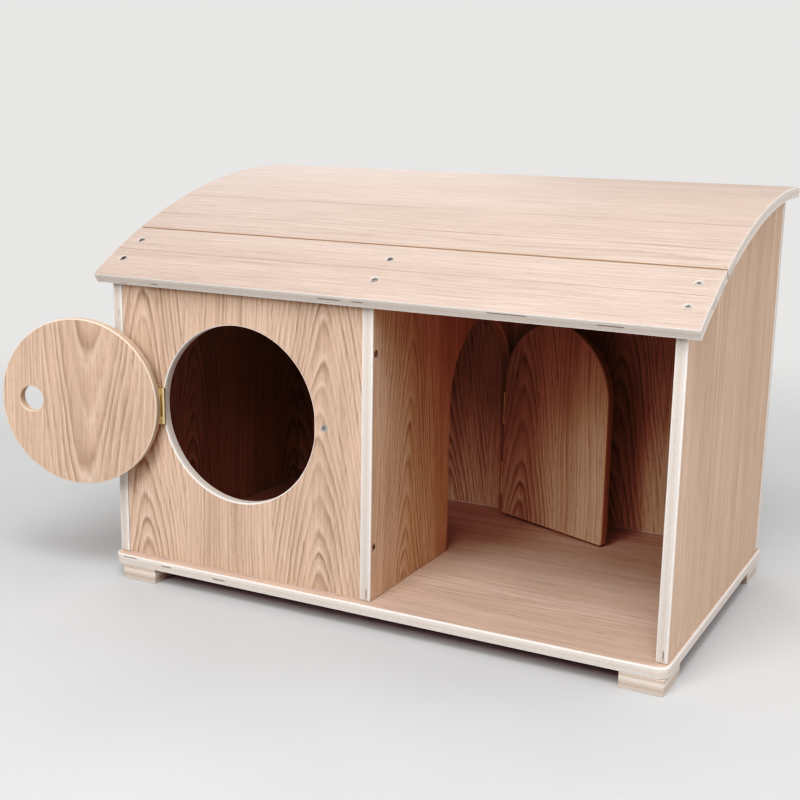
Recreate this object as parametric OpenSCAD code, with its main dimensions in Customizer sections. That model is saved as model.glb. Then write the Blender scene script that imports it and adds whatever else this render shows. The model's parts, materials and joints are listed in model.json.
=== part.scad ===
// Wooden cat house of plywood: a sleeping room behind a round door, beside an open porch.
// An arched door joins the two. A bowed roof covers both: its front board is screwed down and
// its rear part is a lid on hinges. The doors stand open here and the lid is shut.
// Frame: millimetres, X along the front, Y from front to back, Z up.
// The origin is on the ground, under the middle of the base board.

/* [Board] */
// Thickness of the plywood
ply = 12; // [10:0.5:15]

/* [House] */
// Width over the two side panels
house_w = 664; // [620:1:760]
// Depth of the side panels, from their front edges to the back panel
side_d = 380; // [360:1:440]
// Place of the divider's middle, right of the middle of the house
divider_shift = -1; // [-20:1:20]
// Step of the front panel behind the side panels' front edges
front_recess = 1.5; // [0.5:0.1:4]

/* [Base and feet] */
// Reach of the base board in front of the side panels
base_front = 10.5; // [4:0.5:30]
// Reach of the base board beside each side panel
base_side = 3; // [0:0.5:20]
// Radius of the base board's front corners
base_corner = 12; // [4:1:30]
// Short side of a foot block
foot_w = 46; // [30:1:70]
// Long side of a foot block
foot_d = 57; // [40:1:80]
// Height of a foot block
foot_h = 17; // [9:0.5:40]
// Step of the left feet inside the base board's left edge
foot_left = 14; // [0:1:40]
// Step of the right feet inside the base board's right edge
foot_right = 2; // [0:1:40]
// Step of the rear feet inside the base board's back edge
foot_rear = 7; // [0:1:40]

/* [Roof] */
// Radius of the roof's upper surface
roof_r = 718; // [660:1:900]
// Distance of the roof's crest behind the side panels' front edges
crest_y = 362.5; // [340:0.5:370]
// Height of the roof's crest over the floor
crest_h = 438.6; // [420:0.1:520]
// Reach of the roof beside each side panel
roof_side = 14; // [5:0.5:40]
// Reach of the roof in front of the side panels
roof_front = 15.5; // [5:0.5:40]
// Distance of the roof's seam behind the side panels' front edges
seam_y = 70; // [60:1:110]
// Width of the seam between the front board and the lid
seam_gap = 2.5; // [1:0.1:5]
// Air between the roof and the panels that carry it
roof_seat = 0.3; // [0.2:0.05:0.8]

/* [Round door] */
// Diameter of the round opening
opening_d = 200; // [170:1:220]
// Height of the opening's middle over the floor
opening_z = 185; // [150:1:200]
// Place of the opening's middle, right of the middle of the front panel
opening_shift = -2; // [-10:0.5:10]
// Air between the round door's edge and the opening
round_gap = 3.5; // [2:0.1:5]
// Diameter of the finger hole
finger_d = 30; // [22:1:36]
// Distance of the finger hole from the round door's middle
finger_out = 59.5; // [40:0.5:64]
// Chamfer on the round edges
round_chamfer = 1; // [0.3:0.1:1.5]
// Opening angle of the round door as it stands
round_open = 167; // [0:1:175]
// Reach of the door stop into the opening
stop_lap = 8; // [5:0.5:12]
// Width of the door stop
stop_w = 36; // [30:1:50]
// Height of the door stop
stop_h = 30; // [20:1:50]
// Distance of the stop's screw from the opening's rim
stop_screw_out = 12; // [8:0.5:18]
// Air between the shut door and its stop
stop_relief = 0.5; // [0.3:0.1:1]

/* [Arched door] */
// Width of the doorway
arch_w = 182; // [150:1:200]
// Height over the floor at which the doorway's sides turn into its arch
arch_spring = 178.5; // [160:0.5:200]
// Width of the strip between the doorway and the back panel
arch_rear = 5; // [4:0.5:20]
// Air between the arched door and the floor
arch_foot = 2; // [1:0.1:6]
// Opening angle of the arched door as it stands
arch_open = 68; // [0:1:90]
// Height of the lower hinge's middle over the floor
arch_hinge_low = 45; // [40:1:60]
// Drop of the upper hinge's middle below the start of the arch
arch_hinge_drop = 40; // [30:1:50]

/* [Hinges] */
// Length of a hinge
hinge_l = 42; // [36:0.5:55]
// Thickness of a leaf
leaf_t = 1.2; // [0.8:0.1:1.6]
// Space between the two leaves when they are folded
leaf_space = 2.8; // [2.4:0.1:4]
// Step of a leaf's free edge inside the board
leaf_margin = 1.5; // [0.5:0.1:3]
// Diameter of the knuckles
knuckle_d = 4.6; // [4:0.1:5]
// Length of each outer knuckle
knuckle_l = 9; // [6:0.5:12]
// Air between neighbouring knuckles
knuckle_gap = 0.3; // [0.2:0.05:0.6]
// Air between a knuckle and the board or leaf beside it
knuckle_clear = 0.3; // [0.2:0.05:0.6]
// Diameter of the hinge pin
pin_d = 2.4; // [1.6:0.1:2.6]
// Air round the hinge pin
pin_clear = 0.05; // [0.02:0.01:0.1]
// Distance between the screws of a leaf
leaf_screw_span = 28; // [20:1:32]
// Distance of each lid hinge from the middle of the house
lid_hinge_x = 200; // [120:1:260]

/* [Screws] */
// Diameter of a panel screw
screw_d = 4; // [3:0.1:5]
// Diameter of a panel screw's head
head_d = 8; // [6.5:0.1:10]
// Length of a panel screw
screw_l = 40; // [30:1:50]
// Diameter of a hinge screw
small_d = 2.2; // [1.6:0.1:2.6]
// Diameter of a hinge screw's head
small_head_d = 4.4; // [3.4:0.1:5]
// Length of a hinge screw
small_l = 10; // [8:0.5:14]
// Air round a screw
screw_air = 0.05; // [0.02:0.01:0.1]
// Distance of the roof screws' front row behind the side panels' front edges
roof_row_front = 12.5; // [8:0.5:20]
// Distance between the two rows of roof screws
roof_row_span = 34; // [25:1:40]
// Height of the front panel's lower screws over the floor
front_screw_low = 60.5; // [40:0.5:80]
// Depth of the roof screws' heads below the roof's surface
head_sink = 0.4; // [0.2:0.1:1]
// Height of the front panel's upper screws over the floor
front_screw_high = 271; // [240:0.5:280]
// Height of the back panel's lower side screws over the floor
back_screw_low = 60; // [40:1:80]
// Distance of the back panel's upper side screws below its top
back_screw_down = 66; // [30:1:90]
// Height of the back panel's lower divider screw over the doorway
divider_screw_up = 40; // [20:1:50]
// Distance of the back panel's upper divider screw below its top
divider_screw_down = 41; // [25:1:60]
// Distance of the base screws from the ends of a side panel
side_screw_in = 76; // [60:1:120]
// Distance of the base screws from the ends of the divider's foot
divider_screw_in = 48; // [30:1:60]
// Distance of the base screws from the ends of the front panel
front_screw_in = 62; // [40:1:100]
// Distance of the base screws from the ends of the back panel
back_screw_in = 132; // [60:1:200]

/* [Hidden] */
$fn = 96;
// Overrun of a cut past the face that it opens
over = 1;
// Share of a screw's diameter that its point is long
point_share = 1.2;

// Boards
half_w = house_w / 2;
left_in = -half_w + ply;
divider_left = divider_shift - ply / 2;
divider_right = divider_shift + ply / 2;
back_y = side_d + ply;
base_w = house_w + 2 * base_side;
base_d = base_front + back_y;
floor_z = foot_h + ply;
front_y = base_front - base_d / 2;
front_in = front_recess + ply;
foot_left_x = -base_w / 2 + foot_left;
foot_right_x = base_w / 2 - foot_right;
foot_rear_y = back_y - foot_rear;

// Roof
roof_l = house_w + 2 * roof_side;
roof_z = crest_h - roof_r;
under_r = roof_r - ply;
seat_r = under_r - roof_seat;
front_angle = asin((crest_y + roof_front) / roof_r);
seam_angle = asin((crest_y - seam_y) / roof_r);
lid_angle = asin((crest_y - seam_y - seam_gap) / roof_r);
tail_angle = asin((back_y + ply - crest_y) / roof_r);
back_top = roof_z + sqrt(seat_r * seat_r - (back_y - crest_y) * (back_y - crest_y));
lid_back_z = roof_z + sqrt(under_r * under_r - (back_y - crest_y) * (back_y - crest_y));

// Hinges: the leaves lie this far each side of the pin when they are folded
leaf_face = leaf_space / 2;
leaf_seat = leaf_face + leaf_t;
fold_gap = 2 * leaf_seat;
leaf_w = ply - leaf_margin;
knuckle_r = knuckle_d / 2;
pin_stand = knuckle_r + knuckle_clear;
leaf_start = knuckle_r + knuckle_clear;
leaf_screw_y = (leaf_start + leaf_w) / 2;
inner_l = hinge_l - 2 * (knuckle_l + knuckle_gap);

// Round door
opening_x = (left_in + divider_left) / 2 + opening_shift;
opening_r = opening_d / 2;
rim_r = opening_r + round_chamfer;
round_r = opening_r - round_gap;
rim_x = opening_x - opening_r;
far_rim_x = opening_x + opening_r;
round_pin = [rim_x + round_gap / 2, front_recess - leaf_seat, opening_z];
stop_screw_x = far_rim_x + stop_screw_out;

// Arched door
jamb_y = side_d - arch_rear;
arch_y = jamb_y - arch_w / 2;
arch_door_w = arch_w - 2 * fold_gap;
arch_pin = [divider_right + pin_stand, jamb_y - leaf_seat, 0];
arch_hinge_z = [arch_hinge_low, arch_spring - arch_hinge_drop];

// Lid
lid_pin = [0, back_y + leaf_seat, lid_back_z - roof_seat / 2];

// Screw places
carrier_x = [-half_w + ply / 2, divider_shift, half_w - ply / 2];
roof_rows = [roof_row_front, roof_row_front + roof_row_span];
front_rows = [front_screw_low, front_screw_high];
front_screw_y = front_recess + ply / 2;
side_x = [carrier_x[0], carrier_x[2]];
side_base_rows = [side_screw_in, side_d / 2, side_d - side_screw_in];
divider_base_rows = [divider_screw_in, jamb_y - arch_w - divider_screw_in];
front_base_rows = [left_in + front_screw_in, divider_left - front_screw_in];
back_base_rows = [-half_w + back_screw_in, divider_shift, half_w - back_screw_in];
back_screw_high = back_top - back_screw_down;
side_back_rows = [back_screw_low, (back_screw_low + back_screw_high) / 2, back_screw_high];
divider_back_rows = [arch_spring + arch_w / 2 + divider_screw_up, back_top - divider_screw_down];

// Colours
veneer = "burlywood";
pale_veneer = "wheat";
edge_ply = "tan";
brass = "gold";
steel = "silver";

// Places

// Moves what is drawn from the side panels' front edges and the floor into the part's frame.
module in_house() {
    translate([0, front_y, floor_z]) children();
}

// Turns what belongs to the shut round door to where the door stands.
module with_round_door() {
    in_house() translate(round_pin) rotate([0, 0, -round_open]) translate(-round_pin) children();
}

// Turns what belongs to the shut arched door to where the door stands.
module with_arch_door() {
    in_house() translate(arch_pin) rotate([0, 0, arch_open]) translate(-arch_pin) children();
}

// Puts a screw's head just under the roof's upper surface, square to it.
module on_roof(x, y) {
    lean = asin((crest_y - y) / roof_r);
    translate([x, crest_y, roof_z]) rotate([lean, 0, 0]) translate([0, 0, roof_r - head_sink]) children();
}

// Puts a leaf of a hinge, drawn folded about Z, flat on the front panel beside the opening.
module at_round_frame_leaf() {
    translate(round_pin) rotate([0, 0, 90]) mirror([1, 0, 0]) children();
}

// Puts the other leaf flat on the shut round door.
module at_round_door_leaf() {
    translate(round_pin) rotate([0, 0, -90]) children();
}

// Puts the same hinge in the arched doorway, with its frame leaf on the rear jamb.
module at_arch_hinge(z) {
    translate([arch_pin.x, arch_pin.y, z]) rotate([0, 0, 90]) mirror([1, 0, 0]) children();
}

// Puts a leaf of the same hinge on the back panel's outer face, hanging from the pin.
module at_lid_hinge_below(x) {
    translate([x, lid_pin.y, lid_pin.z]) rotate([-90, 0, 90]) children();
}

// Puts a leaf of the same hinge on the lid's back edge, standing on the pin.
module at_lid_hinge_above(x) {
    translate([x, lid_pin.y, lid_pin.z]) rotate([90, 0, 90]) children();
}

// Screws

// A countersunk screw along -Z, with its head's top at the origin.
module screw(d, head, l) {
    slope = (head - d) / 2;
    shank = l - point_share * d;
    rotate_extrude() polygon([[0, 0], [head / 2, 0], [d / 2, -slope], [d / 2, -shank], [0, -l]]);
}

// The hole that a countersunk screw fills.
module screw_hole(d, head, l) {
    slope = (head - d) / 2;
    wide = head / 2 + screw_air;
    narrow = d / 2 + screw_air;
    deep = l + screw_air;
    rotate_extrude()
        polygon([[0, over], [wide, over], [wide, 0], [narrow, -slope], [narrow, -deep], [0, -deep]]);
}

module panel_screw() { screw(screw_d, head_d, screw_l); }
module panel_hole() { screw_hole(screw_d, head_d, screw_l); }
module small_screw() { screw(small_d, small_head_d, small_l); }
module small_hole() { screw_hole(small_d, small_head_d, small_l); }

// Two rows over each of the three boards that carry the roof.
module at_roof_screws() {
    for (x = carrier_x, y = roof_rows) on_roof(x, y) children();
}

// Through the left side panel and the divider into the front panel's two edges.
module at_front_screws() {
    for (z = front_rows) {
        translate([-half_w, front_screw_y, z]) rotate([0, -90, 0]) children();
        translate([divider_right, front_screw_y, z]) rotate([0, 90, 0]) children();
    }
}

// From behind into the back edges of the side panels, and of the divider above its doorway.
module at_back_screws() {
    for (x = side_x, z = side_back_rows) translate([x, back_y, z]) rotate([-90, 0, 0]) children();
    for (z = divider_back_rows) translate([carrier_x[1], back_y, z]) rotate([-90, 0, 0]) children();
}

// From below into the lower edges of all the upright panels.
module at_base_screws() {
    for (x = side_x, y = side_base_rows) translate([x, y, -ply]) rotate([180, 0, 0]) children();
    for (y = divider_base_rows) translate([carrier_x[1], y, -ply]) rotate([180, 0, 0]) children();
    for (x = front_base_rows) translate([x, front_screw_y, -ply]) rotate([180, 0, 0]) children();
    for (x = back_base_rows) translate([x, side_d + ply / 2, -ply]) rotate([180, 0, 0]) children();
}

// From the front through the front panel into the door stop.
module at_stop_screw() {
    translate([stop_screw_x, front_recess, opening_z]) rotate([90, 0, 0]) children();
}

// The two screws of a frame leaf, in the hinge's own frame.
module at_leaf_screws() {
    for (s = [-1, 1])
        translate([-leaf_face, leaf_screw_y, s * leaf_screw_span / 2]) rotate([0, 90, 0]) children();
}

// The two screws of a door leaf, in the hinge's own frame.
module at_door_leaf_screws() {
    mirror([1, 0, 0]) at_leaf_screws() children();
}

// Hinge, drawn about Z with both leaves folded towards +Y

// A leaf with its knuckles, each span a pair of lower and upper ends.
module leaf(spans) {
    difference() {
        union() {
            translate([-leaf_seat, leaf_start, -hinge_l / 2]) cube([leaf_t, leaf_w - leaf_start, hinge_l]);
            for (span = spans) {
                translate([-leaf_seat, 0, span[0]]) cube([leaf_t, leaf_start + leaf_t, span[1] - span[0]]);
                translate([0, 0, span[0]]) cylinder(d = knuckle_d, h = span[1] - span[0]);
            }
        }
        translate([0, 0, -hinge_l / 2 - over]) cylinder(d = pin_d + 2 * pin_clear, h = hinge_l + 2 * over);
        at_leaf_screws() small_hole();
    }
}

// The leaf with the two outer knuckles.
module outer_leaf() {
    leaf([[-hinge_l / 2, -hinge_l / 2 + knuckle_l], [hinge_l / 2 - knuckle_l, hinge_l / 2]]);
}

// The leaf with the middle knuckle.
module inner_leaf() {
    leaf([[-inner_l / 2, inner_l / 2]]);
}

module hinge_pin() {
    cylinder(d = pin_d, h = hinge_l, center = true);
}

// Boards

// The space under the roof, as wide as the roof.
module under_roof(r) {
    translate([0, crest_y, roof_z]) rotate([0, 90, 0]) cylinder(r = r, h = roof_l, center = true, $fn = 360);
}

// An upright board across the house, from x to x + ply, with its top cut to the roof's bow.
module bowed_panel(x) {
    translate([x, 0, 0]) rotate([90, 0, 90]) linear_extrude(ply) intersection() {
        square([side_d, crest_h]);
        translate([crest_y, roof_z]) circle(r = seat_r, $fn = 360);
    }
}

// A round-headed doorway or door on the floor line, with its middle at x = 0.
module arch_outline(w, foot) {
    translate([-w / 2, foot]) square([w, arch_spring - foot]);
    translate([0, arch_spring]) circle(d = w);
}

// Stands an arched outline in the divider's plane.
module in_divider() {
    translate([divider_left, arch_y, 0]) rotate([90, 0, 90]) children();
}

// A bowed strip of the roof between two angles in front of its crest.
module roof_strip(from, to) {
    translate([0, crest_y, roof_z]) rotate([0, 90, 0]) rotate([0, 0, 180 + from])
        rotate_extrude(angle = to - from, $fn = 360) translate([under_r, -roof_l / 2]) square([ply, roof_l]);
}

module foot(x, y, w, d) {
    color(edge_ply) translate([x, y + front_y, 0]) cube([w, d, foot_h]);
}

module base_outline() {
    translate([-base_w / 2, base_corner]) square([base_w, base_d - base_corner]);
    translate([-base_w / 2 + base_corner, 0]) square([base_w - 2 * base_corner, base_d]);
    for (s = [-1, 1]) translate([s * (base_w / 2 - base_corner), base_corner]) circle(r = base_corner);
}

module base_board() {
    color(veneer) in_house() difference() {
        translate([0, -base_front, -ply]) linear_extrude(ply) base_outline();
        at_base_screws() panel_hole();
    }
}

module foot_front_left() { foot(foot_left_x, -base_front, foot_w, foot_d); }
module foot_front_right() { foot(foot_right_x - foot_w, -base_front, foot_w, foot_d); }
module foot_rear_left() { foot(foot_left_x, foot_rear_y - foot_w, foot_d, foot_w); }
module foot_rear_right() { foot(foot_right_x - foot_d, foot_rear_y - foot_w, foot_d, foot_w); }

module left_side_panel() {
    color(veneer) in_house() difference() {
        bowed_panel(-half_w);
        at_roof_screws() panel_hole();
        at_front_screws() panel_hole();
        at_back_screws() panel_hole();
        at_base_screws() panel_hole();
    }
}

module right_side_panel() {
    color(veneer) in_house() difference() {
        bowed_panel(half_w - ply);
        at_roof_screws() panel_hole();
        at_back_screws() panel_hole();
        at_base_screws() panel_hole();
    }
}

module divider_panel() {
    color(veneer) in_house() difference() {
        bowed_panel(divider_left);
        in_divider() translate([0, 0, -over]) linear_extrude(ply + 2 * over) arch_outline(arch_w, -over);
        at_roof_screws() panel_hole();
        at_front_screws() panel_hole();
        at_back_screws() panel_hole();
        at_base_screws() panel_hole();
        for (z = arch_hinge_z) at_arch_hinge(z) at_leaf_screws() small_hole();
    }
}

// The board with the round opening.
module front_panel() {
    color(veneer) in_house() difference() {
        intersection() {
            translate([left_in, front_recess, 0]) cube([divider_left - left_in, ply, crest_h]);
            under_roof(seat_r);
        }
        translate([opening_x, front_recess - over, opening_z]) rotate([-90, 0, 0]) {
            cylinder(r = opening_r, h = ply + 2 * over);
            cylinder(r1 = rim_r + over, r2 = opening_r - round_chamfer, h = 2 * round_chamfer + over);
        }
        at_front_screws() panel_hole();
        at_base_screws() panel_hole();
        at_stop_screw() panel_hole_short();
        at_round_frame_leaf() at_leaf_screws() small_hole();
    }
}

module back_panel() {
    color(veneer) in_house() difference() {
        intersection() {
            translate([-half_w, side_d, 0]) cube([house_w, ply, crest_h]);
            under_roof(seat_r);
        }
        at_back_screws() panel_hole();
        at_base_screws() panel_hole();
        for (z = arch_hinge_z) at_arch_hinge(z) at_leaf_screws() small_hole();
        for (s = [-1, 1]) at_lid_hinge_below(s * lid_hinge_x) at_leaf_screws() small_hole();
    }
}

module roof_front_board() {
    color(pale_veneer) in_house() difference() {
        roof_strip(seam_angle, front_angle);
        at_roof_screws() panel_hole();
    }
}

// The lid ends square over the back panel's outer face.
module roof_lid() {
    color(pale_veneer) in_house() difference() {
        roof_strip(-tail_angle, lid_angle);
        translate([-roof_l, back_y, 0]) cube([2 * roof_l, roof_r, 2 * crest_h]);
        for (s = [-1, 1]) at_lid_hinge_above(s * lid_hinge_x) at_leaf_screws() small_hole();
    }
}

// The disc from the opening.
module round_door() {
    color(veneer) with_round_door() difference() {
        translate([opening_x, front_recess, opening_z]) rotate([-90, 0, 0]) rotate_extrude() polygon([
            [0, 0], [round_r - round_chamfer, 0], [round_r, round_chamfer],
            [round_r, ply - round_chamfer], [round_r - round_chamfer, ply], [0, ply]
        ]);
        translate([opening_x + finger_out, front_in + over, opening_z]) rotate([90, 0, 0])
            cylinder(d = finger_d, h = ply + 2 * over);
        at_round_door_leaf() at_leaf_screws() small_hole();
    }
}

module arch_door() {
    color(veneer) with_arch_door() difference() {
        in_divider() linear_extrude(ply) arch_outline(arch_door_w, arch_foot);
        for (z = arch_hinge_z) at_arch_hinge(z) at_door_leaf_screws() small_hole();
    }
}

// The block behind the opening's far rim that the shut door meets.
module door_stop() {
    color(edge_ply) in_house() difference() {
        translate([far_rim_x - stop_lap, front_in, opening_z - stop_h / 2]) cube([stop_w, ply, stop_h]);
        translate([far_rim_x - stop_lap - over, front_in - over, opening_z - stop_h])
            cube([stop_lap + over, over + stop_relief, 2 * stop_h]);
        at_stop_screw() panel_hole_short();
    }
}

// Hinge pieces

module round_hinge_frame_leaf() { color(brass) in_house() at_round_frame_leaf() inner_leaf(); }
module round_hinge_door_leaf() { color(brass) with_round_door() at_round_door_leaf() outer_leaf(); }
module round_hinge_pin() { color(steel) in_house() at_round_frame_leaf() hinge_pin(); }

module arch_frame_leaf(z) { color(brass) in_house() at_arch_hinge(z) outer_leaf(); }
module arch_door_leaf(z) { color(brass) with_arch_door() at_arch_hinge(z) mirror([1, 0, 0]) inner_leaf(); }
module arch_hinge_pin(z) { color(steel) in_house() at_arch_hinge(z) hinge_pin(); }
module arch_lower_hinge_frame_leaf() { arch_frame_leaf(arch_hinge_z[0]); }
module arch_lower_hinge_door_leaf() { arch_door_leaf(arch_hinge_z[0]); }
module arch_lower_hinge_pin() { arch_hinge_pin(arch_hinge_z[0]); }
module arch_upper_hinge_frame_leaf() { arch_frame_leaf(arch_hinge_z[1]); }
module arch_upper_hinge_door_leaf() { arch_door_leaf(arch_hinge_z[1]); }
module arch_upper_hinge_pin() { arch_hinge_pin(arch_hinge_z[1]); }

module lid_panel_leaf(x) { color(brass) in_house() at_lid_hinge_below(x) outer_leaf(); }
module lid_lid_leaf(x) { color(brass) in_house() at_lid_hinge_above(x) inner_leaf(); }
module lid_hinge_pin(x) { color(steel) in_house() at_lid_hinge_above(x) hinge_pin(); }
module lid_left_hinge_panel_leaf() { lid_panel_leaf(-lid_hinge_x); }
module lid_left_hinge_lid_leaf() { lid_lid_leaf(-lid_hinge_x); }
module lid_left_hinge_pin() { lid_hinge_pin(-lid_hinge_x); }
module lid_right_hinge_panel_leaf() { lid_panel_leaf(lid_hinge_x); }
module lid_right_hinge_lid_leaf() { lid_lid_leaf(lid_hinge_x); }
module lid_right_hinge_pin() { lid_hinge_pin(lid_hinge_x); }

// Screws as they sit

// The stop's screw ends inside the stop.
module panel_screw_short() { screw(screw_d, head_d, 2 * ply - 2 * screw_d); }
module panel_hole_short() { screw_hole(screw_d, head_d, 2 * ply - 2 * screw_d); }

module roof_board_screws() { color(steel) in_house() at_roof_screws() panel_screw(); }
module front_panel_screws() { color(steel) in_house() at_front_screws() panel_screw(); }
module back_panel_screws() { color(steel) in_house() at_back_screws() panel_screw(); }
module base_screws() { color(steel) in_house() at_base_screws() panel_screw(); }
module door_stop_screw() { color(steel) in_house() at_stop_screw() panel_screw_short(); }
module round_hinge_frame_screws() {
    color(brass) in_house() at_round_frame_leaf() at_leaf_screws() small_screw();
}

module round_hinge_door_screws() {
    color(brass) with_round_door() at_round_door_leaf() at_leaf_screws() small_screw();
}

module arch_hinge_frame_screws() {
    color(brass) in_house() for (z = arch_hinge_z) at_arch_hinge(z) at_leaf_screws() small_screw();
}

module arch_hinge_door_screws() {
    color(brass) with_arch_door() for (z = arch_hinge_z) at_arch_hinge(z) at_door_leaf_screws() small_screw();
}

module lid_hinge_panel_screws() {
    color(brass) in_house()
        for (s = [-1, 1]) at_lid_hinge_below(s * lid_hinge_x) at_leaf_screws() small_screw();
}

module lid_hinge_lid_screws() {
    color(brass) in_house()
        for (s = [-1, 1]) at_lid_hinge_above(s * lid_hinge_x) at_leaf_screws() small_screw();
}

base_board();
foot_front_left();
foot_front_right();
foot_rear_left();
foot_rear_right();
left_side_panel();
right_side_panel();
divider_panel();
front_panel();
back_panel();
roof_front_board();
roof_lid();
round_door();
arch_door();
door_stop();
round_hinge_frame_leaf();
round_hinge_door_leaf();
round_hinge_pin();
arch_lower_hinge_frame_leaf();
arch_lower_hinge_door_leaf();
arch_lower_hinge_pin();
arch_upper_hinge_frame_leaf();
arch_upper_hinge_door_leaf();
arch_upper_hinge_pin();
lid_left_hinge_panel_leaf();
lid_left_hinge_lid_leaf();
lid_left_hinge_pin();
lid_right_hinge_panel_leaf();
lid_right_hinge_lid_leaf();
lid_right_hinge_pin();
roof_board_screws();
front_panel_screws();
back_panel_screws();
base_screws();
door_stop_screw();
round_hinge_frame_screws();
round_hinge_door_screws();
arch_hinge_frame_screws();
arch_hinge_door_screws();
lid_hinge_panel_screws();
lid_hinge_lid_screws();
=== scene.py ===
"""The looks of a wooden cat house: ash-faced plywood boards, brass hinges and countersunk screws."""
import json
import math

import bmesh
import bpy
from mathutils import Matrix, Vector
from mathutils.geometry import tessellate_polygon


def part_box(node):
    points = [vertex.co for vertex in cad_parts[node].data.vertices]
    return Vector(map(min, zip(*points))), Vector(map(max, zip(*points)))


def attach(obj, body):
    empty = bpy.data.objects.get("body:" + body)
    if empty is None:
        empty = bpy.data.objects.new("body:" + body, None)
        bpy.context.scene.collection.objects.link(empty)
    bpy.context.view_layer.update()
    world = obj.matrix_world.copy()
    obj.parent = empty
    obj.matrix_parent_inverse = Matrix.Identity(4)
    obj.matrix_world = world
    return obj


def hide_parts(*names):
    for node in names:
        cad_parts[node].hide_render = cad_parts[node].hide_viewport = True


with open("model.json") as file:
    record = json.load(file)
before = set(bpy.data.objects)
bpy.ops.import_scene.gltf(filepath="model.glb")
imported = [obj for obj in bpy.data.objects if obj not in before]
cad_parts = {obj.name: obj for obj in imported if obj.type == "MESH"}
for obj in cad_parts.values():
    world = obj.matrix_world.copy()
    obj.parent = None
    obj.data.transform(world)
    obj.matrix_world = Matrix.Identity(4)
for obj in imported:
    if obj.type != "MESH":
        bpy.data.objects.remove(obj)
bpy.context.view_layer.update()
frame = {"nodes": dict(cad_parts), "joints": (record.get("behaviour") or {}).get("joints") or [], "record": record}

MM = 0.001

# Sizes, turns and shares that the boxes of the solids don't give
PLY = 12 * MM
BOARD_EASE = 1.2 * MM
DOOR_EASE = 1.8 * MM
BLOCK_EASE = 0.8 * MM
HOLE_EASE = 0.5 * MM
ROOF_EASE = 0.3 * MM
EASE_STEPS = 3
CORNER_STEPS = 10
ARC_STEPS = 48
RIM_STEPS = 144
CORNER_PER_EASE = 2.2
SHARP_CORNER = math.radians(25)
SHARP_EDGE = math.radians(32)
BASE_CORNER = 12 * MM
ROOF_R = 718 * MM
CREST_BACK = 362.5 * MM
ROOF_AIR = 0.3 * MM
SEAM_BACK = 70 * MM
SEAM_GAP = 2.5 * MM
ROOF_FRONT = 15.5 * MM
OPENING_R = 100 * MM
OPENING_UP = 185 * MM
ROUND_GAP = 3.5 * MM
ROUND_R = OPENING_R - ROUND_GAP
ROUND_TURN = -167
FINGER_R = 15 * MM
FINGER_OUT = 59.5 * MM
STOP_LAP = 8 * MM
STOP_RELIEF = 0.5 * MM
STOP_EASE = 0.2 * MM
ARCH_R = 91 * MM
ARCH_REAR = 5 * MM
ARCH_SPRING = 178.5 * MM
ARCH_DOOR_R = 85.8 * MM
ARCH_FOOT = 2 * MM
ARCH_TURN = 68
HEAD_R = 4 * MM
SHANK_R = 2 * MM
HINGE_HEAD_R = 2.2 * MM
HINGE_SHANK_R = 1.1 * MM
RECESS_REACH_SHARE = 0.62
RECESS_WIDTH_SHARE = 0.16
RECESS_DEPTH_SHARE = 0.2
POINT_R = 0.3 * MM
SCREW_SEED = 7
LEAF_WIDTH = 118 * MM
ROOF_BOARD_SHIFT = 310 * MM
LID_SHIFT = 11200 * MM
ROOF_BENDS = (ROOF_BOARD_SHIFT - 347 * MM, LID_SHIFT - 261.5 * MM, LID_SHIFT - 203 * MM)

# Places that follow from the solids' boxes
side_low, side_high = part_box("left_side_panel")
base_low, base_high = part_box("base_board")
roof_low, roof_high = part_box("roof_lid")
front_low, front_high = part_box("front_panel")
divider_low, divider_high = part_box("divider_panel")
back_low, back_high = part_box("back_panel")
FRONT_Y = side_low.y
FLOOR_Z = base_high.z
CREST_Y = FRONT_Y + CREST_BACK
ROOF_AXIS_Z = roof_high.z - ROOF_R
UNDER_R = ROOF_R - PLY
SEAT_R = UNDER_R - ROOF_AIR
pins = {joint["child"]: Vector(joint["pos_m"]) for joint in frame["joints"]}
ROUND_PIN = pins["round_door"]
ARCH_PIN = pins["arch_door"]
OPENING_Z = FLOOR_Z + OPENING_UP
OPENING_X = ROUND_PIN.x - ROUND_GAP / 2 + OPENING_R
ARCH_Z = FLOOR_Z + ARCH_SPRING
JAMB_Y = side_high.y - ARCH_REAR
ARCH_Y = JAMB_Y - ARCH_R

# Which leaf of veneer lies on each board, and where the leaf's middle is
LEAVES = {
    "base": (4, -100 * MM),
    "foot": (7, 0),
    "left": (2, -60 * MM),
    "right": (11, 40 * MM),
    "divider": (14, -102 * MM),
    "front": (8, -61 * MM),
    "back": (20, 150 * MM),
    "disc": (28, OPENING_X - 16 * MM),
    "arch": (32, JAMB_Y - 38 * MM),
    "stop": (6, 0),
}


# Materials

def linear(code):
    """Turns an sRGB hex colour into linear red, green, blue and alpha."""
    parts = [int(code[i:i + 2], 16) / 255 for i in (1, 3, 5)]
    return tuple(c / 12.92 if c <= 0.04045 else ((c + 0.055) / 1.055) ** 2.4 for c in parts) + (1.0,)


def add(tree, kind, inputs=None, **settings):
    """Adds a node. Each input is a plain value, an output, or a node, whose first output is meant.
    A list holds several for one input."""
    node = tree.nodes.new(kind)
    for key, value in settings.items():
        setattr(node, key, value)
    for key, value in (inputs or {}).items():
        for source in value if isinstance(value, list) else [value]:
            if isinstance(source, bpy.types.Node):
                source = source.outputs[0]
            if isinstance(source, bpy.types.NodeSocket):
                tree.links.new(source, node.inputs[key])
            else:
                node.inputs[key].default_value = source
    return node


def new_material(name):
    """An empty material with its shader, ready for a finish."""
    material = bpy.data.materials.new(name)
    material.use_nodes = True
    tree = material.node_tree
    tree.nodes.clear()
    shader = add(tree, "ShaderNodeBsdfPrincipled")
    add(tree, "ShaderNodeOutputMaterial", {"Surface": shader.outputs["BSDF"]})
    return material, tree, shader


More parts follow.
